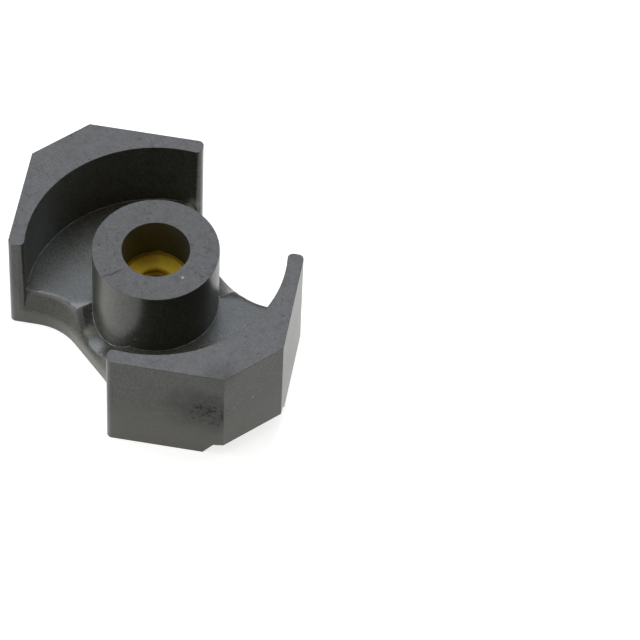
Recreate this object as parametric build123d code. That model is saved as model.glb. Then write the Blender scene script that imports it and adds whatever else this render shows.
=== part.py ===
from build123d import *
import os
from math import hypot, sqrt

# One half of a square ferrite core with cut corners, all sizes in millimetres.
# The origin is on the bore axis at the ground back face. +Z points to the mating
# faces, +X runs along the diagonal between the two cut corners.

# Whole core half
square_width = 19.3
corner_cut = 2.3
half_height = 8.2

# Centre post and bore
post_diameter = 8.4
bore_diameter = 4.5

# Skirts and the winding window between them and the post
side_wall = 1.0
plate_thickness = 2.75
arm_overrun = 1.43
arm_tip_round = 0.38

# Waist, with its pressed flank leaning in towards the window floor
waist_shoulder = 1.15
waist_fillet = 3.8
flank_height = 1.55
flank_setback = 0.6

# Relief trough across the plate, the post's drafted foot in it, and the rolled floor edges
trough_width = 4.4
trough_depth = 0.9
foot_draft = 0.08
rim_round = 0.25

# Clip recess in the back face at each cut corner
recess_reach = 3.45
recess_width = 5.36
recess_depth = 1.1
lip_width = 0.95
lip_drop_inner = 0.84
lip_drop_outer = 1.08
lead_in_length = 1.5
lead_in_flare = 0.6

# Threaded adjuster sleeve and the adhesive that holds it in the bore
glue_gap = 0.08
glue_climb = 0.12
sleeve_drop = 3.15
sleeve_inset = 0.4
sleeve_rim = 0.25
funnel_depth = 0.45
thread_diameter = 2.3
mouth_chamfer = 0.12

# Worked out from the sizes above, with a margin for cuts and one for telling edges apart
half_side = square_width / 2
corner_plane = half_side * sqrt(2) - corner_cut
window_radius = half_side - side_wall
post_radius = post_diameter / 2
bore_radius = bore_diameter / 2
sleeve_radius = bore_radius - glue_gap
sleeve_top = half_height - sleeve_drop
flank_start = plate_thickness - flank_height
cut_margin = 1.0
on_edge = 0.01


def arm_band(setback):
    """Plan between the two waist sides: arm ends at 45 degrees and straight waists."""
    reach = 2 * square_width
    waist_y = post_radius + waist_shoulder - setback
    end_shift = (arm_overrun - setback) * sqrt(2)
    knee_x = waist_y - end_shift
    side = [(reach, reach + end_shift), (knee_x, waist_y), (-knee_x, waist_y), (-reach, reach + end_shift)]
    other = [(-x, -y) for x, y in side]
    return make_face(Polyline(*side, *other, close=True))


def waist_band(setback):
    """The arm band with its four knees turned into the big waist fillets."""
    band = arm_band(setback)
    knees = band.vertices().sort_by(lambda v: abs(v.Y))[:4]
    return fillet(knees, waist_fillet + setback)


def square_plan():
    """Square standing on its corner, with the two corners on X cut off."""
    square = Rectangle(square_width, square_width, rotation=45)
    return square & Rectangle(2 * corner_plane, 2 * square_width)


def arm_tips(plan):
    """Corners of the arm ends: on a side of the square, or on the window circle."""

    def is_tip(v):
        on_side = abs(abs(v.X) + abs(v.Y) - half_side * sqrt(2)) < on_edge
        on_window = abs(hypot(v.X, v.Y) - window_radius) < on_edge
        return on_window or on_side and abs(v.X) < corner_plane - on_edge

    return [v for v in plan.vertices() if is_tip(v)]


def core_plan():
    """Whole plan outline, with the outer edge of each arm end rounded."""
    plan = square_plan() & waist_band(0)
    return fillet(arm_tips(plan), arm_tip_round)


def skirt_plan():
    """The two skirts round the winding window, with both edges of each arm end rounded."""
    skirts = square_plan() & arm_band(0)
    skirts -= Circle(window_radius)
    return fillet(arm_tips(skirts), arm_tip_round)


def flank():
    """Upper part of the plate, whose waist sides lean in up to the window floor."""
    lower = Plane.XY.offset(flank_start) * waist_band(0)
    upper = Plane.XY.offset(plate_thickness) * waist_band(flank_setback)
    leaning = loft([lower, upper], ruled=True)
    return leaning & extrude(core_plan(), plate_thickness)


def troughed_layer():
    """Everything up to the window floor, with a round-bottomed trough and its rolled edges along Y."""
    radius = (trough_width**2 / 4 + trough_depth**2) / (2 * trough_depth)
    axis_height = plate_thickness - trough_depth + radius
    layer = Pos(0, plate_thickness / 2) * Rectangle(4 * square_width, plate_thickness)
    layer -= Pos(0, axis_height) * Circle(radius)
    edges = [v for v in layer.vertices() if abs(v.X) < trough_width / 2 + on_edge]
    return extrude(Plane.XZ * fillet(edges, rim_round), square_width, both=True)


def post():
    """Centre post, with its foot drafted outwards where it stands in the trough."""
    foot_middle = plate_thickness - trough_depth / 2
    foot = Pos(0, 0, foot_middle) * Cone(post_radius + foot_draft, post_radius, trough_depth)
    return Pos(0, 0, half_height / 2) * Cylinder(post_radius, half_height) + foot


def roll_rims(body):
    """Round the window floor's and trough's open rim over the waist flanks."""

    def on_rim(edge):
        middle, run = edge.center(), edge.tangent_at(0.5)
        upper = flank_start + on_edge < middle.Z < plate_thickness + on_edge
        open_floor = post_radius + foot_draft + on_edge < hypot(middle.X, middle.Y) < window_radius - on_edge
        across = abs(run.Z) < 0.8 and abs(run.Y) < 0.99
        return upper and open_floor and across

    return fillet([e for e in body.edges() if on_rim(e)], rim_round)


def clip_recess():
    """Pocket, lowered lip and flared lead-in at the +X corner of the back face."""
    inner_x = corner_plane - recess_reach
    lip_x = corner_plane - lip_width
    outer_x = corner_plane + cut_margin
    pocket = Pos(inner_x, 0, -cut_margin) * Box(
        lip_x - inner_x, recess_width, cut_margin + recess_depth, align=(Align.MIN, Align.CENTER, Align.MIN)
    )
    start_x = lip_x - lead_in_length

    def section(x):
        drop = lip_drop_inner + (lip_drop_outer - lip_drop_inner) * (x - lip_x) / lip_width

        def half_width(z):
            return recess_width / 2 + lead_in_flare * ((x - start_x) / lead_in_length - z / lip_drop_inner)

        low = -cut_margin
        corners = [
            (x, -half_width(low), low),
            (x, half_width(low), low),
            (x, half_width(drop), drop),
            (x, -half_width(drop), drop),
        ]
        return make_face(Polyline(*corners, close=True))

    lip = loft([section((inner_x + lip_x) / 2), section(outer_x)], ruled=True)
    return pocket + lip


def core_half():
    """The pressed and ground ferrite body, one piece."""
    body = extrude(core_plan(), flank_start) + flank()
    body &= troughed_layer()
    body += extrude(skirt_plan(), half_height)
    body += post()
    body = roll_rims(body)
    recess = clip_recess()
    body -= recess
    body -= recess.rotate(Axis.Z, 180)
    body -= Cylinder(bore_radius, 3 * half_height)
    return body


def revolved(points):
    """Solid turned about the bore axis from a closed outline of (radius, height) points."""
    return revolve(Plane.XZ * make_face(Polyline(*points, close=True)), Axis.Z)


def threaded_sleeve():
    """Moulded sleeve with a dished top and a plain bore at the thread's mean radius."""
    hole = thread_diameter / 2
    mouth = sleeve_top - funnel_depth
    return revolved([
        (hole, sleeve_inset),
        (sleeve_radius, sleeve_inset),
        (sleeve_radius, sleeve_top),
        (sleeve_radius - sleeve_rim, sleeve_top),
        (hole + mouth_chamfer, mouth),
        (hole, mouth - mouth_chamfer),
    ])


def adhesive_ring():
    """Adhesive between sleeve and bore, drawn up the bore wall at the rim."""
    return revolved([
        (sleeve_radius, sleeve_inset),
        (bore_radius, sleeve_inset),
        (bore_radius, sleeve_top + glue_climb),
        (sleeve_radius, sleeve_top),
    ])


os.makedirs("parts", exist_ok=True)
export_step(core_half(), "parts/core_half.step")
export_step(threaded_sleeve(), "parts/threaded_sleeve.step")
export_step(adhesive_ring(), "parts/adhesive_ring.step")
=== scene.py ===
import math

import bmesh
import bpy
import numpy as np
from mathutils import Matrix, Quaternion, Vector


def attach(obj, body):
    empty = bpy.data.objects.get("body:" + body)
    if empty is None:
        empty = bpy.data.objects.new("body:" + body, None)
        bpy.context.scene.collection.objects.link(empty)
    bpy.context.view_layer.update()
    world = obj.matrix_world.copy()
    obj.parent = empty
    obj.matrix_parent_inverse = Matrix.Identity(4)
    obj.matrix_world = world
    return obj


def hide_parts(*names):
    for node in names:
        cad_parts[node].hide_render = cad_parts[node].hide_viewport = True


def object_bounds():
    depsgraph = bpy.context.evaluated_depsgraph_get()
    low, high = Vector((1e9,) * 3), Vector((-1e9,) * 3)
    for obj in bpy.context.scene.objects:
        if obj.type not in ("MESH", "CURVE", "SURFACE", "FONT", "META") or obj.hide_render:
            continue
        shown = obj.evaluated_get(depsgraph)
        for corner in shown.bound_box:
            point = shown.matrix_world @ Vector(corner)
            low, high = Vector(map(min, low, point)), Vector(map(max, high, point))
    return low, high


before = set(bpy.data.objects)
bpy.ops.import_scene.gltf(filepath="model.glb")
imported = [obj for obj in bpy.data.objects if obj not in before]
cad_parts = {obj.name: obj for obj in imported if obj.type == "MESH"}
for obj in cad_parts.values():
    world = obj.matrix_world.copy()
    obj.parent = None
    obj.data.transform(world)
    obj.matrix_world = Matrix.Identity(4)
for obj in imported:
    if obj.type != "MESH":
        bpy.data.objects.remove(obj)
cad_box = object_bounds()

# Ferrite body of the core half: plate, centre post and skirts in one piece of manganese-zinc ferrite. It
# is pressed and sintered, then ground flat on its back and mating faces, and tumbling breaks its rims. The
# worn die leaves the waist sides a little swollen and soft, with the trough rolling off over them.
mating_height = cad_box[1][2]
corner_x = cad_box[1][0]
plate_top = 0.00275
bore_radius = 0.00225
post_clear = 0.00429
post_fade = 0.0001
skirt_clear = 0.0085
skirt_fade = 0.0002
on_edge = 0.00001
rim_break = 0.00002
rim_angle = math.radians(38)
sharp_angle = math.radians(30)
flat_angle = math.radians(0.5)
same_corner = 0.000002

# The waist's sides: how far they reach, how much they swell, and the cells that they are cut into.
cell = 0.00013
waist_reach = 0.0066
waist_inner = 0.003
cells_inner = 0.0034
cells_outer = 0.0066
waist_depth = 0.0008
waist_fade = 0.0005
reach_fade = 0.0008
waist_side = 0.00535
flank_start = 0.0012
flank_tilt = 1 / 6
least_lean = 0.05
flank_swell = 0.00011
end_swell = 0.00056

# The trough across the plate: its arc, how far its ends fall at the near and far side, and their smoothing.
trough_half = 0.0022
trough_deep = 0.0009
trough_round = (trough_half**2 + trough_deep**2) / (2 * trough_deep)
trough_reach = 0.0029
near_fall = 0.0007
far_fall = 0.0003
wall_change = 1 / 3
end_start = 0.4
pull = 0.6
rim_passes = 7
end_passes = 100
far_passes = 30


def ramp(value, start, end):
    """Share of the way from start to end, kept within 0 and 1."""
    return np.clip((value - start) / (end - start), 0, 1)


def arc_rise(x):
    """Height of the trough's circular bottom over its lowest line: r less the root of r^2 - x^2."""
    return trough_round - np.sqrt(trough_round**2 - np.minimum(np.abs(x), trough_half) ** 2)


def floor_height(x):
    """Height of the window floor, or of the trough's bottom where x lies within its width."""
    return plate_top - trough_deep + arc_rise(x)


def way_out(x, y):
    """Share of the way along Y from the post's foot to the waist's side, 0 to 1."""
    foot = np.sqrt(np.maximum(post_clear**2 - x**2, 0))
    return ramp(np.abs(y), foot, waist_side)


def trough_fall(x, y):
    """How far the trough's ends sink below the solid. The near end's walls steepen from the arc to a fourth
    power of x over the half width, and both bottoms roll off to the waist as a quarter of an ellipse."""
    out = way_out(x, y)
    share = np.minimum(np.abs(x) / trough_half, 1)
    steepened = (arc_rise(x) - trough_deep * share**4) * ramp(out, 0, wall_change) * (y < 0)
    fall = np.where(y < 0, near_fall, far_fall)
    return steepened + fall * (1 - np.sqrt(1 - out**2)) * (1 - share**4)


def soften(spots, pairs, share, passes):
    """Move each corner by its share towards the mean of its neighbours, pass after pass."""
    count = np.bincount(pairs.ravel(), minlength=len(spots))[:, None]
    one, two = pairs[share[pairs].sum(axis=1) > 0].T
    start, end = np.concatenate([one, two]), np.concatenate([two, one])
    for _ in range(passes):
        sums = [np.bincount(start, spots[end, axis], len(spots)) for axis in range(3)]
        spots += share[:, None] * (np.stack(sums, axis=1) / count - spots)


def roll_off(mesh):
    """Swell the waist flanks along their normals, most in the middle of the trough's ends, then sink those
    ends and soften the flank's crease, its rim and the ends."""
    spots, normals = np.empty((2, len(mesh.vertices) * 3))
    mesh.vertices.foreach_get("co", spots)
    mesh.vertices.foreach_get("normal", normals)
    spots, normals = spots.reshape(-1, 3), normals.reshape(-1, 3)
    pairs = np.empty(len(mesh.edges) * 2, dtype=np.int64)
    mesh.edges.foreach_get("vertices", pairs)
    pairs = pairs.reshape(-1, 2)
    x, y, z = spots.T
    from_axis = np.hypot(x, y)
    past_post = ramp(from_axis, post_clear, post_clear + post_fade)
    before_skirt = ramp(from_axis, skirt_clear, skirt_clear - skirt_fade)
    open_plate = past_post * before_skirt * (z < plate_top + on_edge)
    upward = ramp(z, waist_depth, waist_depth + waist_fade)
    sunk = ramp(z, waist_depth, floor_height(x)) * open_plate * (np.abs(x) < trough_half)
    swell = flank_swell + end_swell * (1 - np.minimum(np.abs(x) / trough_half, 1) ** 2)
    outward = ramp(normals[:, 1] * np.sign(y), 0, flank_tilt) * ramp(z, flank_start, plate_top)
    sideways = normals[:, :2] / np.maximum(np.hypot(normals[:, 0], normals[:, 1]), least_lean)[:, None]
    spots[:, :2] += sideways * (swell * outward * open_plate)[:, None]
    z -= sunk * trough_fall(x, y)
    everywhere, outer_end = np.ones(len(x)), ramp(way_out(x, y), 0, end_start)
    rounds = [(rim_passes, waist_reach, everywhere), (end_passes, trough_reach, outer_end)]
    rounds.append((far_passes, trough_reach, y > 0))
    for passes, reach, part in rounds:
        across = ramp(np.abs(x), reach, reach - reach_fade)
        soften(spots, pairs, pull * across * upward * open_plate * part, passes)
    mesh.vertices.foreach_set("co", spots.ravel())


def cut_cells(skin):
    """Cut the faces of the plate's waist sides by planes one cell apart across X, Y and Z."""
    faces = []
    for face in skin.faces:
        x, y, z = np.array([corner.co for corner in face.verts]).T
        near_waist = np.abs(x).min() < waist_reach and np.abs(y).max() > waist_inner
        if near_waist and waist_depth < z.max() < plate_top + on_edge:
            faces.append(face)
    geometry = faces + list({e for f in faces for e in f.edges}) + list({v for f in faces for v in f.verts})
    spans = [(0, -waist_reach, waist_reach), (1, cells_inner, cells_outer), (1, -cells_outer, -cells_inner)]
    spans.append((2, waist_depth, plate_top - cell / 2))
    for axis, start, end in spans:
        for offset in np.arange(start, end, cell):
            place, direction = np.zeros(3), np.zeros(3)
            place[axis], direction[axis] = offset, 1
            cut = bmesh.ops.bisect_plane(skin, geom=geometry, dist=1e-8, plane_co=place, plane_no=direction)
            geometry = cut["geom"]


def add_object(name, data):
    """A new object of the scene, at the origin and unturned."""
    holder = bpy.data.objects.new(name, data)
    bpy.context.scene.collection.objects.link(holder)
    return holder


def merged_copy(source, name):
    """The source's triangles joined at equal corners, with flat neighbours made one face, the waist sides cut
    and rolled off, and the sharp edges over the plate marked for the rim break."""
    skin = bmesh.new()
    skin.from_mesh(source.data)
    bmesh.ops.remove_doubles(skin, verts=skin.verts, dist=same_corner)
    bmesh.ops.dissolve_limit(skin, angle_limit=flat_angle, verts=skin.verts, edges=skin.edges)
    cut_cells(skin)
    weights = skin.edges.layers.float.new("bevel_weight_edge")
    for edge in skin.edges:
        lowest = min(corner.co.z for corner in edge.verts)
        if lowest > plate_top + rim_break * 2 and edge.is_convex and edge.calc_face_angle() > rim_angle:
            edge[weights] = 1.0
    mesh = bpy.data.meshes.new(name)
    skin.to_mesh(mesh)
    skin.free()
    roll_off(mesh)
    if "custom_normal" in mesh.attributes:
        mesh.attributes.remove(mesh.attributes["custom_normal"])
    mesh.shade_smooth()
    mesh.set_sharp_from_angle(angle=sharp_angle)
    return add_object(name, mesh)


body = merged_copy(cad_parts["core_half"], "ferrite_body")
rims = body.modifiers.new("rim break", "BEVEL")
rims.width = rim_break
rims.segments = 2
rims.limit_method = "WEIGHT"
rims.use_clamp_overlap = False
shading = body.modifiers.new("flat faces stay flat", "WEIGHTED_NORMAL")
shading.keep_sharp = True

# The sintered skin is dark grey and faintly glossy from the die. The ground faces are the same ferrite
# cut open: a little paler and duller, with pulled-out grains that leave dark pores and short dashes.
# The real grain of 10 to 20 micrometres is too fine to show, so it is drawn as coarse as 0.12 mm.
grain_size = 0.00012
mottle_size = 0.0011
patch_size = 0.00045
lump_size = 0.00032
pore_spacing = 0.0004
dash_size = (0.0006, 0.00012, 0.0003)
dash_turn = 0.35
pit_share = 0.7
ground_band = 0.00005
level_rise = 0.95
ferrite_index = 1.5
pressed_roughness = 0.3
ground_roughness = 0.5


def colour(text):
    """Linear RGBA of an sRGB hex colour: (c + 0.055) / 1.055 to the power 2.4, or c / 12.92 near black."""
    parts = np.array([int(text[i:i + 2], 16) for i in (1, 3, 5)]) / 255
    linear = np.where(parts > 0.04045, ((parts + 0.055) / 1.055) ** 2.4, parts / 12.92)
    return (*linear.tolist(), 1.0)


def add_node(tree, kind, links=None, **settings):
    """Add a node: settings are its options, and links gives each input a value, an output, or a node that
    stands for the first of its outputs in use. A Mix node's two colours are its inputs 6 and 7."""
    node = tree.nodes.new(kind)
    for name, value in settings.items():
        setattr(node, name, value)
    for name, value in (links or {}).items():
        if isinstance(value, bpy.types.Node):
            value = next(output for output in value.outputs if output.enabled)
        if isinstance(value, bpy.types.NodeSocket):
            tree.links.new(value, node.inputs[name])
        else:
            node.inputs[name].default_value = value
    return node


def new_material(name):
    """An empty node material and its tree."""
    material = bpy.data.materials.new(name)
    material.use_nodes = True
    material.node_tree.nodes.clear()
    return material, material.node_tree


def joined(tree, operation, masks):
    """One mask from several: their product, or the greatest of them, joined one after the other."""
    result = masks[0]
    for mask in masks[1:]:
        result = add_node(tree, "ShaderNodeMath", {0: result, 1: mask}, operation=operation)
    return result


def spot(tree, place, centre, size, ragged):
    """Mask of a soft spot: 1 up to 0.4 of its size from the centre, 0 beyond its size, its edge ragged."""
    gap = add_node(tree, "ShaderNodeVectorMath", {0: place, 1: centre}, operation="DISTANCE")
    shift = add_node(tree, "ShaderNodeMath", {0: ragged, 1: size, 2: -size / 2}, operation="MULTIPLY_ADD")
    gap = add_node(tree, "ShaderNodeMath", {0: gap, 1: shift}, operation="ADD")
    return add_node(tree, "ShaderNodeMapRange", {"Value": gap, "From Min": size, "From Max": size * 0.4})


ferrite, tree = new_material("manganese_zinc_ferrite")
coordinates = add_node(tree, "ShaderNodeTexCoord")
place = coordinates.outputs["Object"]
point = add_node(tree, "ShaderNodeSeparateXYZ", {0: place})
height = point.outputs["Z"]
rise = add_node(tree, "ShaderNodeSeparateXYZ", {0: coordinates.outputs["Normal"]}).outputs["Z"]
slope = add_node(tree, "ShaderNodeMath", {0: rise}, operation="ABSOLUTE")
level = add_node(tree, "ShaderNodeMath", {0: slope, 1: level_rise}, operation="GREATER_THAN")
upper = {0: height, 1: mating_height - ground_band}
upper = add_node(tree, "ShaderNodeMath", upper, operation="GREATER_THAN")
lower = add_node(tree, "ShaderNodeMath", {0: height, 1: on_edge}, operation="LESS_THAN")
either = add_node(tree, "ShaderNodeMath", {0: upper, 1: lower}, operation="ADD")
ground = add_node(tree, "ShaderNodeMath", {0: either, 1: level}, operation="MULTIPLY")

# Grain and broad mottle of the skin, with pores and short pulled-out dashes on the ground faces.
noise, mottle, cloud, lumpy = [
    add_node(tree, "ShaderNodeTexNoise", {"Vector": place, "Scale": 1 / size, "Detail": detail})
    for size, detail in ((grain_size, 2.0), (mottle_size, 3.0), (patch_size, 2.0), (lump_size, 2.0))
]
grain = add_node(tree, "ShaderNodeMapRange", {"Value": noise, "From Min": 0.3, "From Max": 0.7})
brown = {"Value": mottle, "From Min": 0.45, "From Max": 0.75, "To Max": 0.35}
brown = add_node(tree, "ShaderNodeMapRange", brown)
patches = {"Value": cloud, "From Min": 0.52, "From Max": 0.72, "To Max": 0.4}
patches = add_node(tree, "ShaderNodeMapRange", patches)
cells = add_node(tree, "ShaderNodeTexVoronoi", {"Vector": place, "Scale": 1 / pore_spacing})
chance = add_node(tree, "ShaderNodeSeparateColor", {0: cells.outputs["Color"]})
pore_size = add_node(tree, "ShaderNodeMapRange", {"Value": chance, "From Min": 0.7, "To Max": 0.3})
pores = add_node(tree, "ShaderNodeMath", {0: cells.outputs["Distance"], 1: pore_size}, operation="LESS_THAN")
stretch = {"Vector": place, "Rotation": (0, 0, dash_turn), "Scale": [1 / size for size in dash_size]}
stretched = add_node(tree, "ShaderNodeMapping", stretch)
streaks = add_node(tree, "ShaderNodeTexNoise", {"Vector": stretched, "Scale": 1.0, "Detail": 1.0})
dashes = add_node(tree, "ShaderNodeMapRange", {"Value": streaks, "From Min": 0.68, "From Max": 0.76})
pits = add_node(tree, "ShaderNodeMath", {0: pores, 1: dashes}, operation="MAXIMUM")

# A hairline crack runs over the post's top from the rim: its line is a curve of X over Y.
crack_start = -0.00425
crack_length = 0.0018
crack_line = [(0.0, 0.36), (0.21, 0.17), (0.38, 0.53), (0.54, 0.51), (0.78, 0.62), (1.0, 0.67)]
crack_left = -0.0001
crack_span = 0.0004
crack_width = 0.00008
crack_middle = 0.45
run = {"Value": point.outputs["Y"], "From Min": crack_start, "From Max": crack_start + crack_length}
run = add_node(tree, "ShaderNodeMapRange", run)
line = add_node(tree, "ShaderNodeFloatCurve", {"Value": run})
bends = line.mapping.curves[0].points
bends[0].location, bends[1].location = crack_line[0], crack_line[-1]
for bend in crack_line[1:-1]:
    bends.new(*bend)
line.mapping.update()
middle = add_node(tree, "ShaderNodeMath", {0: line, 1: crack_span, 2: crack_left}, operation="MULTIPLY_ADD")
aside = add_node(tree, "ShaderNodeMath", {0: point.outputs["X"], 1: middle}, operation="SUBTRACT")
aside = add_node(tree, "ShaderNodeMath", {0: aside}, operation="ABSOLUTE")
near = {"Value": aside, "From Min": crack_width, "From Max": crack_width * 0.4}
near = add_node(tree, "ShaderNodeMapRange", near)
half_way = add_node(tree, "ShaderNodeMath", {0: run, 1: crack_middle}, operation="SUBTRACT")
half_way = add_node(tree, "ShaderNodeMath", {0: half_way}, operation="ABSOLUTE")
fade = add_node(tree, "ShaderNodeMapRange", {"Value": half_way, "From Min": 0.52, "From Max": 0.25})
crack = joined(tree, "MULTIPLY", [near, fade, upper])

# Pulled-out marks on the mating faces, as X, Y and size. The first four make a dash on a skirt's top.
pulled_share = 0.4
pulled = [spot(tree, place, (x, y, mating_height), size, noise) for x, y, size in (
    (0.00758, -0.00525, 0.00015), (0.0076, -0.0051, 0.00015), (0.00762, -0.00495, 0.00015),
    (0.00765, -0.00478, 0.00015), (0.00162, 0.00279, 0.00017), (0.00208, 0.00272, 0.0002),
    (0.00228, 0.00227, 0.00016), (0.0026, 0.0011, 0.0002), (0.00298, 0.00108, 0.00015),
    (0.00396, 0.00135, 0.00013), (-0.00252, -0.0013, 0.00016), (-0.00276, 0.00139, 0.00018),
    (0.0019, -0.0021, 0.00013))]
pulled = joined(tree, "MAXIMUM", pulled)
faint = add_node(tree, "ShaderNodeMath", {0: pulled, 1: pulled_share}, operation="MULTIPLY")
dark = add_node(tree, "ShaderNodeMath", {0: crack, 1: faint}, operation="MAXIMUM")

# Chips that bare bright grain, and a paler patch of painted light on the floor behind the post.
chips_and_painted_light = joined(tree, "MAXIMUM", [spot(tree, place, centre, size, noise) for centre, size in (
    ((0.002916, 0.000152, mating_height), 0.00013),
    ((corner_x, -0.001493, 0.004618), 0.00011),
    ((corner_x, -0.00003, 0.004703), 0.00012),
    ((0.002559, -0.003331, 0.003693), 0.0001),
    # Painted light: the paler patch on the floor behind the post.
    ((-0.0052, 0.0066, plate_top), 0.0007),
)])

# A greasy smudge on the near face by the cut corner: a thin smear, and within it dark, dull lumps.
cut_corner_y = -0.00232
thin_share = 0.6
corner_share = 0.45
greasy_share = 0.35
lump_share = 0.8
lumps = add_node(tree, "ShaderNodeMapRange", {"Value": lumpy, "From Min": 0.46, "From Max": 0.6})
grains = joined(tree, "MULTIPLY", [lumps, spot(tree, place, (0.01068, -0.00297, 0.0043), 0.0017, cloud)])
left_face = {0: point.outputs["Y"], 1: cut_corner_y}
left_face = add_node(tree, "ShaderNodeMath", left_face, operation="LESS_THAN")
smear = joined(tree, "MULTIPLY", [spot(tree, place, (0.01045, -0.0032, 0.0045), 0.0034, mottle), left_face])
corner = spot(tree, place, (0.0111, -0.0023, mating_height), 0.0016, cloud)
corner = add_node(tree, "ShaderNodeMath", {0: corner, 1: corner_share}, operation="MULTIPLY")
smear = add_node(tree, "ShaderNodeMath", {0: smear, 1: corner}, operation="MAXIMUM")
thin = add_node(tree, "ShaderNodeMath", {0: smear, 1: thin_share}, operation="MULTIPLY")
greasy = joined(tree, "MAXIMUM", [
    spot(tree, place, (0.01051, -0.00314, 0.0045), 0.0011, cloud),
    spot(tree, place, (0.01085, -0.0028, 0.0039), 0.0009, cloud),
])
greasy = add_node(tree, "ShaderNodeMath", {0: greasy, 1: greasy_share}, operation="MULTIPLY")
thick = add_node(tree, "ShaderNodeMath", {0: grains, 1: lump_share}, operation="MULTIPLY")
thick = add_node(tree, "ShaderNodeMath", {0: greasy, 1: thick}, operation="MAXIMUM")

# Painted reflection: the walls are painted paler towards their foot, higher up on the skirts than on the
# waist, standing in for the white table reflected there.
past_post = 0.0049
wall_inner = 0.0087
wall_outer = 0.0093
foot_reflection_waist = 0.0014
foot_reflection_skirt = 0.0045
flat_place = add_node(tree, "ShaderNodeVectorMath", {0: place, 1: (1.0, 1.0, 0.0)}, operation="MULTIPLY")
reach = add_node(tree, "ShaderNodeVectorMath", {0: flat_place}, operation="LENGTH")
outer = add_node(tree, "ShaderNodeMath", {0: reach, 1: past_post}, operation="GREATER_THAN")
foot_reflection_top = {"From Min": wall_inner, "From Max": wall_outer, "To Min": foot_reflection_waist, "To Max": foot_reflection_skirt}
foot_reflection_top = add_node(tree, "ShaderNodeMapRange", {"Value": reach, **foot_reflection_top})
painted_foot_reflection = {"Value": height, "From Min": foot_reflection_top, "From Max": 0.0, "To Max": 0.85}
painted_foot_reflection = add_node(tree, "ShaderNodeMapRange", painted_foot_reflection)
wall = add_node(tree, "ShaderNodeMapRange", {"Value": slope, "From Min": 0.6, "From Max": 0.2})
painted_foot_reflection = joined(tree, "MULTIPLY", [painted_foot_reflection, wall, outer])

# Painted highlight: the rolled rims of floor and trough are painted pale, and the skirts' ground faces are a
# shade paler.
rim_low = 0.0016
rim_high = 0.00245
rim_highlight_share = 0.75
skirt_inner = 0.0083
skirt_outer = 0.0088
tilted = add_node(tree, "ShaderNodeMapRange", {"Value": rise, "From Min": 0.985, "From Max": 0.85})
steep = add_node(tree, "ShaderNodeMapRange", {"Value": rise, "From Min": 0.3, "From Max": 0.5})
high = add_node(tree, "ShaderNodeMapRange", {"Value": height, "From Min": rim_low, "From Max": rim_high})
below = add_node(tree, "ShaderNodeMath", {0: height, 1: plate_top + on_edge}, operation="LESS_THAN")
# Painted highlight on the rolled rims of floor and trough.
painted_rim_highlight = joined(tree, "MULTIPLY", [tilted, steep, high, below, outer, rim_highlight_share])
skirt = {"Value": reach, "From Min": skirt_inner, "From Max": skirt_outer, "To Max": 0.05}
skirt = add_node(tree, "ShaderNodeMapRange", skirt)
skirt = add_node(tree, "ShaderNodeMath", {0: skirt, 1: ground}, operation="MULTIPLY")

# A thin film of resin tints the bore wall brown, with painted shade that darkens it on the side towards +X
# and +Y.
film_share = 0.7
inner = add_node(tree, "ShaderNodeMath", {0: reach, 1: bore_radius + on_edge}, operation="LESS_THAN")
filmed = add_node(tree, "ShaderNodeMath", {0: inner, 1: film_share}, operation="MULTIPLY")
# Painted shade: the film's colour darkens towards +X and +Y.
along = add_node(tree, "ShaderNodeVectorMath", {0: place, 1: (0.7, 0.7, 0.0)}, operation="DOT_PRODUCT")
along = add_node(tree, "ShaderNodeMapRange", {"Value": along, "From Min": -0.001, "From Max": 0.0016})
film_with_painted_shade = {0: along, 6: colour("#524c30"), 7: colour("#0e0c06")}
film_with_painted_shade = add_node(tree, "ShaderNodeMix", film_with_painted_shade, data_type="RGBA")

# The two tones of the ferrite, then what stains or bares it and the painted light and shade, one over the
# other.
pressed_tone, ground_tone = [
    add_node(tree, "ShaderNodeMix", {0: grain, 6: colour(deep), 7: colour(fair)}, data_type="RGBA")
    for deep, fair in (("#252624", "#595a52"), ("#393838", "#545252"))
]
pitted = add_node(tree, "ShaderNodeMath", {0: pits, 1: pit_share}, operation="MULTIPLY")
cut_tone = {0: pitted, 6: ground_tone, 7: colour("#0c0c0d")}
cut_tone = add_node(tree, "ShaderNodeMix", cut_tone, data_type="RGBA")
tone = add_node(tree, "ShaderNodeMix", {0: ground, 6: pressed_tone, 7: cut_tone}, data_type="RGBA")
for share, coat in (
    (brown, colour("#2c2a1e")), (patches, colour("#1a1b1c")), (dark, colour("#060606")),
    (chips_and_painted_light, colour("#8e9090")), (thin, colour("#171611")), (thick, colour("#050504")),
    (painted_foot_reflection, colour("#7a7a76")), (painted_rim_highlight, colour("#7a7c7b")), (skirt, colour("#9a9a9c")), (filmed, film_with_painted_shade),
):
    tone = add_node(tree, "ShaderNodeMix", {0: share, 6: tone, 7: coat}, data_type="RGBA")

# Grease and resin dull the skin, and the crack, pores and pulled-out marks lie a little deep.
dulling = 0.25
lump_dulling = 1.1
mark_depth = 4.0
pit_depth = 2.0
gloss = {"Value": ground, "To Min": pressed_roughness, "To Max": ground_roughness}
gloss = add_node(tree, "ShaderNodeMapRange", gloss)
matt = add_node(tree, "ShaderNodeMath", {0: grains, 1: lump_dulling, 2: inner}, operation="MULTIPLY_ADD")
matt = add_node(tree, "ShaderNodeMath", {0: smear, 1: matt}, operation="ADD")
rough = {0: matt, 1: dulling, 2: gloss}
rough = add_node(tree, "ShaderNodeMath", rough, operation="MULTIPLY_ADD", use_clamp=True)
sunken = add_node(tree, "ShaderNodeMath", {0: dark, 1: mark_depth, 2: pits}, operation="MULTIPLY_ADD")
relief = add_node(tree, "ShaderNodeMath", {0: sunken, 1: -pit_depth, 2: noise}, operation="MULTIPLY_ADD")
bump = add_node(tree, "ShaderNodeBump", {"Height": relief, "Strength": 0.25, "Distance": 0.00001})
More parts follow.
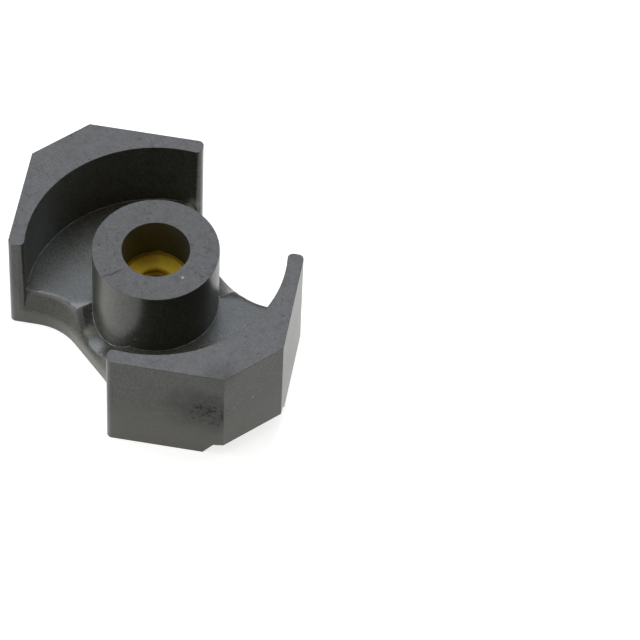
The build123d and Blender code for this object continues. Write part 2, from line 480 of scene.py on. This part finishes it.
surface = {"Base Color": tone, "Roughness": rough, "IOR": ferrite_index, "Normal": bump}
surface = add_node(tree, "ShaderNodeBsdfPrincipled", surface)
add_node(tree, "ShaderNodeOutputMaterial", {"Surface": surface})
body.data.materials.clear()
body.data.materials.append(ferrite)
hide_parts("core_half")
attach(body, "root")

# Adjuster sleeve: a moulded yellow plastic tube, glued into the post's bore. Its fine internal thread
# takes the adjuster screw, and its top is dished to lead the screw in.
sleeve_radius = 0.00217
sleeve_foot = 0.0004
sleeve_top = 0.00505
foot_edge = 0.00008
top_edge = 0.00004
rim_width = 0.0002
mouth_depth = 0.00025
mouth_edge = 0.00012
thread_mean = 0.00115
thread_height = 0.00011
thread_pitch = 0.00045
thread_end = 0.00005
crest_flat = 1.5


def grid_piece(name, points, closed=True):
    """Piece from a grid of points. Rows run round the section and join up. Columns run along the piece, and
    join up too when it is closed; otherwise each end is capped."""
    rows, columns = points.shape[:2]
    row, column = np.meshgrid(np.arange(rows), np.arange(columns if closed else columns - 1), indexing="ij")
    next_row, next_column = (row + 1) % rows, (column + 1) % columns
    corners = [(row, column), (row, next_column), (next_row, next_column), (next_row, column)]
    faces = np.stack([r * columns + c for r, c in corners], axis=-1).reshape(-1, 4).tolist()
    if not closed:
        first = np.arange(rows) * columns
        faces += [first.tolist(), (first + columns - 1)[::-1].tolist()]
    mesh = bpy.data.meshes.new(name)
    mesh.from_pydata(points.reshape(-1, 3), [], faces)
    mesh.shade_smooth()
    return add_object(name, mesh)


def round_axis(r, angle, z):
    """Points at radius r, angle and height z round the bore axis: r cos(a), r sin(a), z."""
    return np.stack([r * np.cos(angle), r * np.sin(angle), z], axis=-1)


def threaded_tube(turns=180, rows_per_pitch=14, dish_rows=14):
    """Section outline from the foot up the outside, over the dished top and down the threaded hole.
    The hole's radius swings about its mean with the sine of height over pitch less the turn's angle."""
    hole_top = sleeve_top - mouth_depth - mouth_edge
    sag = np.linspace(0, 1, dish_rows)
    dish_in = sleeve_radius - rim_width
    dish_r = dish_in + (thread_mean + mouth_edge - dish_in) * sag
    dish_z = sleeve_top - mouth_depth * np.sin(sag * math.pi / 2)
    climb = np.arange(hole_top, sleeve_foot + thread_end, -thread_pitch / rows_per_pitch)
    radius = np.concatenate([
        [sleeve_radius - foot_edge, sleeve_radius, sleeve_radius, sleeve_radius - top_edge],
        [dish_in + top_edge], dish_r,
        [thread_mean + mouth_edge / 4], np.full(len(climb), thread_mean), [thread_mean + foot_edge]])
    height = np.concatenate([
        [sleeve_foot, sleeve_foot + foot_edge, sleeve_top - top_edge, sleeve_top],
        [sleeve_top], dish_z,
        [hole_top + mouth_edge / 3], climb, [sleeve_foot]])
    cut = np.zeros(len(radius))
    cut[-len(climb) - 1:-1] = ramp(climb, hole_top, hole_top - thread_pitch)
    angle = np.arange(turns) * 2 * math.pi / turns
    swing = np.clip(crest_flat * np.sin(2 * math.pi * height[:, None] / thread_pitch - angle), -1, 1)
    r = radius[:, None] + thread_height * cut[:, None] * swing
    return round_axis(r, angle, np.broadcast_to(height[:, None], r.shape))


sleeve = grid_piece("threaded_sleeve_moulding", threaded_tube())

# Moulded polyamide is a soft, matt yellow with clouds of deeper colour, and a little browner on the side
# towards -X and -Y.
cloud_size = 0.0009
plastic, tree = new_material("yellow_moulded_polyamide")
place = add_node(tree, "ShaderNodeTexCoord").outputs["Object"]
clouds = add_node(tree, "ShaderNodeTexNoise", {"Vector": place, "Scale": 1 / cloud_size, "Detail": 3.0})
along = add_node(tree, "ShaderNodeVectorMath", {0: place, 1: (0.6, 0.8, 0.0)}, operation="DOT_PRODUCT")
side = add_node(tree, "ShaderNodeMapRange", {"Value": along, "From Min": -0.0012, "From Max": 0.0015})
browner_tone, fairer_tone = [
    add_node(tree, "ShaderNodeMix", {0: clouds, 6: colour(deep), 7: colour(fair)}, data_type="RGBA")
    for deep, fair in (("#967412", "#c8b01c"), ("#947818", "#ccb228"))
]
tone = add_node(tree, "ShaderNodeMix", {0: side, 6: browner_tone, 7: fairer_tone}, data_type="RGBA")
surface = add_node(tree, "ShaderNodeBsdfPrincipled", {"Base Color": tone, "Roughness": 0.75, "IOR": 1.4})
add_node(tree, "ShaderNodeOutputMaterial", {"Surface": surface})
sleeve.data.materials.append(plastic)
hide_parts("threaded_sleeve")
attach(sleeve, "root")

# Adhesive: a thin ring of epoxy resin that was run into the gap between sleeve and bore. It has crept up
# the bore wall in an uneven bead, whose edge heights stand here by their angle in degrees, and set hard.
bead_edge = {
    -159: 0.00514, -90: 0.00505, -20: 0.0051, 40: 0.0051, 93: 0.005, 124: 0.00512,
    133: 0.00517, 140: 0.00528, 147: 0.00517, 156: 0.0051, 175: 0.00518,
}
bead_reach = 0.00012
bead_skin = 0.00002
bead_tuck = 0.00003


def bead(turns=180, rows=12):
    """Ring between sleeve and bore. Its top is a hollow curve from the bead's edge down to the sleeve's rim,
    edge height less its rise times one minus (1 - s) squared."""
    angle = np.arange(turns) * 2 * math.pi / turns
    edge = np.interp(angle, np.radians(list(bead_edge)), list(bead_edge.values()), period=2 * math.pi)
    s = np.linspace(0, 1, rows)[:, None]
    low = sleeve_top + bead_skin
    top_r = np.broadcast_to(bore_radius + (sleeve_radius - bead_reach - bore_radius) * s, (rows, turns))
    top_z = low + np.maximum(edge - low, bead_skin) * (1 - s) ** 2
    down_r = np.array([[sleeve_radius - bead_skin], [sleeve_radius - bead_skin], [bore_radius]])
    down_z = np.array([[sleeve_top - bead_tuck], [sleeve_foot], [sleeve_foot]])
    r = np.concatenate([top_r, np.broadcast_to(down_r, (3, turns))])
    z = np.concatenate([top_z, np.broadcast_to(down_z, (3, turns))])
    return round_axis(r, angle, z)[::-1]


# Cured epoxy of this kind is brown-yellow, and dulled by the dust that settled on it while it set.
glue = grid_piece("adhesive_bead", bead())
resin, tree = new_material("cured_epoxy_resin")
surface = {"Base Color": colour("#8a7010"), "Roughness": 0.8, "IOR": 1.35}
surface = add_node(tree, "ShaderNodeBsdfPrincipled", surface)
add_node(tree, "ShaderNodeOutputMaterial", {"Surface": surface})
glue.data.materials.append(resin)
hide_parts("adhesive_ring")
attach(glue, "root")

# Flash: the hair-thin fins of ferrite that the die's parting gaps leave round the foot of the post and
# along the foot of each skirt. They are sintered with the body, and faint in front of the post.
flash_width = 0.00007
flash_height = 0.00004
post_foot = 0.00422
foot_draft = 0.00008
skirt_foot = 0.00865
skirt_half_angle = math.radians(47)
faint_angle = -0.75
faint_spread = 0.5
faint_share = 0.8
tip_thickness = 0.02


def lump(angle):
    """Thickness of a fin along its circle, about 1, from summed sines of the angle."""
    return 0.75 + 0.2 * np.sin(angle * 23 + 1.1) + 0.25 * np.sin(angle * 57 + 0.4) * np.sin(angle * 9)


def fin(radius, angle, height, thickness, sides=8):
    """Ridge along a circle: its section is an ellipse, the flash's width and height times the thickness."""
    turn = np.arange(sides)[:, None] * 2 * math.pi / sides
    r = radius + flash_width / 2 * np.cos(turn) * thickness
    return round_axis(r, angle, height + flash_height * np.sin(turn) * thickness)


def post_fin(columns=720):
    """Fin that follows the post's drafted foot over floor and trough, thinned by a bell curve in front."""
    angle = np.arange(columns) * 2 * math.pi / columns
    foot_z = floor_height(post_foot * np.cos(angle))
    foot_r = post_foot + foot_draft * ramp(foot_z, plate_top, plate_top - trough_deep)
    off = (angle - faint_angle + math.pi) % (2 * math.pi) - math.pi
    return fin(foot_r, angle, foot_z, lump(angle) * (1 - faint_share * np.exp(-(off / faint_spread) ** 2)))


def skirt_fin(turned, columns=300, tapered=6):
    """Fin along the foot of a skirt, turned about the bore axis and tapered at both ends."""
    angle = np.linspace(-skirt_half_angle, skirt_half_angle, columns) + turned
    from_end = np.minimum(np.arange(columns), np.arange(columns)[::-1])
    return fin(skirt_foot, angle, plate_top, lump(angle) * np.clip(from_end / tapered, tip_thickness, 1))


# Sintered flash is the body's ferrite, but its thin, fine-grained edge catches the light and looks pale.
flash, tree = new_material("sintered_ferrite_flash")
surface = {"Base Color": colour("#8c8e8f"), "Roughness": 0.35, "IOR": 1.6}
surface = add_node(tree, "ShaderNodeBsdfPrincipled", surface)
add_node(tree, "ShaderNodeOutputMaterial", {"Surface": surface})
for piece in (
    grid_piece("post_foot_flash", post_fin()),
    grid_piece("skirt_foot_flash_px", skirt_fin(0.0), closed=False),
    grid_piece("skirt_foot_flash_nx", skirt_fin(math.pi), closed=False),
):
    piece.data.materials.append(flash)
    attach(piece, "root")

# White table under the core. Its own glow is seen only by the camera and in reflections, so the paper
# stays white in the picture without adding light to the core.
table_half = 0.4
table_height = -0.00002
seen_glow = 0.8
reflected_glow = 0.79
table_mesh = bpy.data.meshes.new("table")
signs = ((-1, -1), (1, -1), (1, 1), (-1, 1))
table_corners = [(x * table_half, y * table_half, table_height) for x, y in signs]
table_mesh.from_pydata(table_corners, [], [(0, 1, 2, 3)])
table = add_object("table", table_mesh)
paper, tree = new_material("white_paper")
rays = add_node(tree, "ShaderNodeLightPath")
seen = rays.outputs["Is Camera Ray"]
reflected = {0: rays.outputs["Is Glossy Ray"], 1: reflected_glow}
reflected = add_node(tree, "ShaderNodeMath", reflected, operation="MULTIPLY")
shown = add_node(tree, "ShaderNodeMath", {0: seen, 1: seen_glow, 2: reflected}, operation="MULTIPLY_ADD")
tint = {0: seen, 6: colour("#fffdf8"), 7: colour("#ffffff")}
tint = add_node(tree, "ShaderNodeMix", tint, data_type="RGBA")
sheet = add_node(tree, "ShaderNodeBsdfDiffuse", {"Color": colour("#b3b3b3")})
glow = add_node(tree, "ShaderNodeEmission", {"Color": tint, "Strength": shown})
both = add_node(tree, "ShaderNodeAddShader", {0: sheet, 1: glow})
add_node(tree, "ShaderNodeOutputMaterial", {"Surface": both})
table.data.materials.append(paper)

# Studio: white paper all round. The camera sees it everywhere, and the core's reflections meet it low
# down, where the tent's walls stand, but it gives no light of its own.
tent_edge = 0.6
tent_full = 0.25
world = bpy.data.worlds.new("studio")
world.use_nodes = True
bpy.context.scene.world = world
tree = world.node_tree
tree.nodes.clear()
rays = add_node(tree, "ShaderNodeLightPath")
towards = add_node(tree, "ShaderNodeTexCoord").outputs["Generated"]
towards = add_node(tree, "ShaderNodeSeparateXYZ", {0: towards}).outputs["Z"]
tent = add_node(tree, "ShaderNodeMapRange", {"Value": towards, "From Min": tent_edge, "From Max": tent_full})
tent = add_node(tree, "ShaderNodeMath", {0: tent, 1: rays.outputs["Is Glossy Ray"]}, operation="MULTIPLY")
white = add_node(tree, "ShaderNodeMath", {0: tent, 1: rays.outputs["Is Camera Ray"]}, operation="ADD")
sky = add_node(tree, "ShaderNodeBackground", {"Color": colour("#ffffff"), "Strength": white})
add_node(tree, "ShaderNodeOutputWorld", {"Surface": sky})

# Lamps: square soft boxes round the core, all at one distance. The strongest stand overhead and at the
# upper left.
box_distance = 0.72
box_size = 0.3


def soft_box(name, elevation, azimuth, watts, tint):
    """Square area lamp on a sphere round the core, facing it: cos(e) cos(a), cos(e) sin(a), sin(e)."""
    e, a = math.radians(elevation), math.radians(azimuth)
    away = Vector((math.cos(e) * math.cos(a), math.cos(e) * math.sin(a), math.sin(e))) * box_distance
    lamp = bpy.data.lights.new(name, "AREA")
    lamp.shape = "SQUARE"
    lamp.size = box_size
    lamp.energy = watts
    lamp.color = colour(tint)[:3]
    holder = add_object(name, lamp)
    holder.location = away
    holder.rotation_mode = "QUATERNION"
    holder.rotation_quaternion = (-away).to_track_quat("-Z", "Y")


soft_box("overhead", 74, 142.6, 2.4, "#f5f7ff")
soft_box("back", 55, 142.6, 0.88, "#e9f3ff")
soft_box("back right", 55, 82.6, 1.05, "#e9f8ff")
soft_box("right", 55, 22.6, 0.34, "#ffdbc4")
soft_box("front left", 55, 262.6, 1.02, "#fffde7")
soft_box("upper left", 40, 222.6, 1.6, "#edf4ff")
soft_box("left", 24, 222.6, 0.92, "#f5ffff")

# Camera at the photo's viewpoint, fitted to the edges of the core.
camera_place = (0.15397, -0.10379, 0.24319)
sight_point = Vector((0.005758, 0.009406, 0.0))
camera_roll = math.radians(2.811)
lens = bpy.data.cameras.new("camera")
lens.lens = 256.9
lens.sensor_width = 36.0
lens.clip_start = 0.01
lens.clip_end = 5.0
camera = add_object("camera", lens)
camera.location = camera_place
camera.rotation_mode = "QUATERNION"
straight = (sight_point - camera.location).to_track_quat("-Z", "Y")
camera.rotation_quaternion = straight @ Quaternion((0, 0, 1), camera_roll)
bpy.context.scene.camera = camera

bpy.context.scene.view_settings.view_transform = "Standard"
bpy.context.view_layer.update()
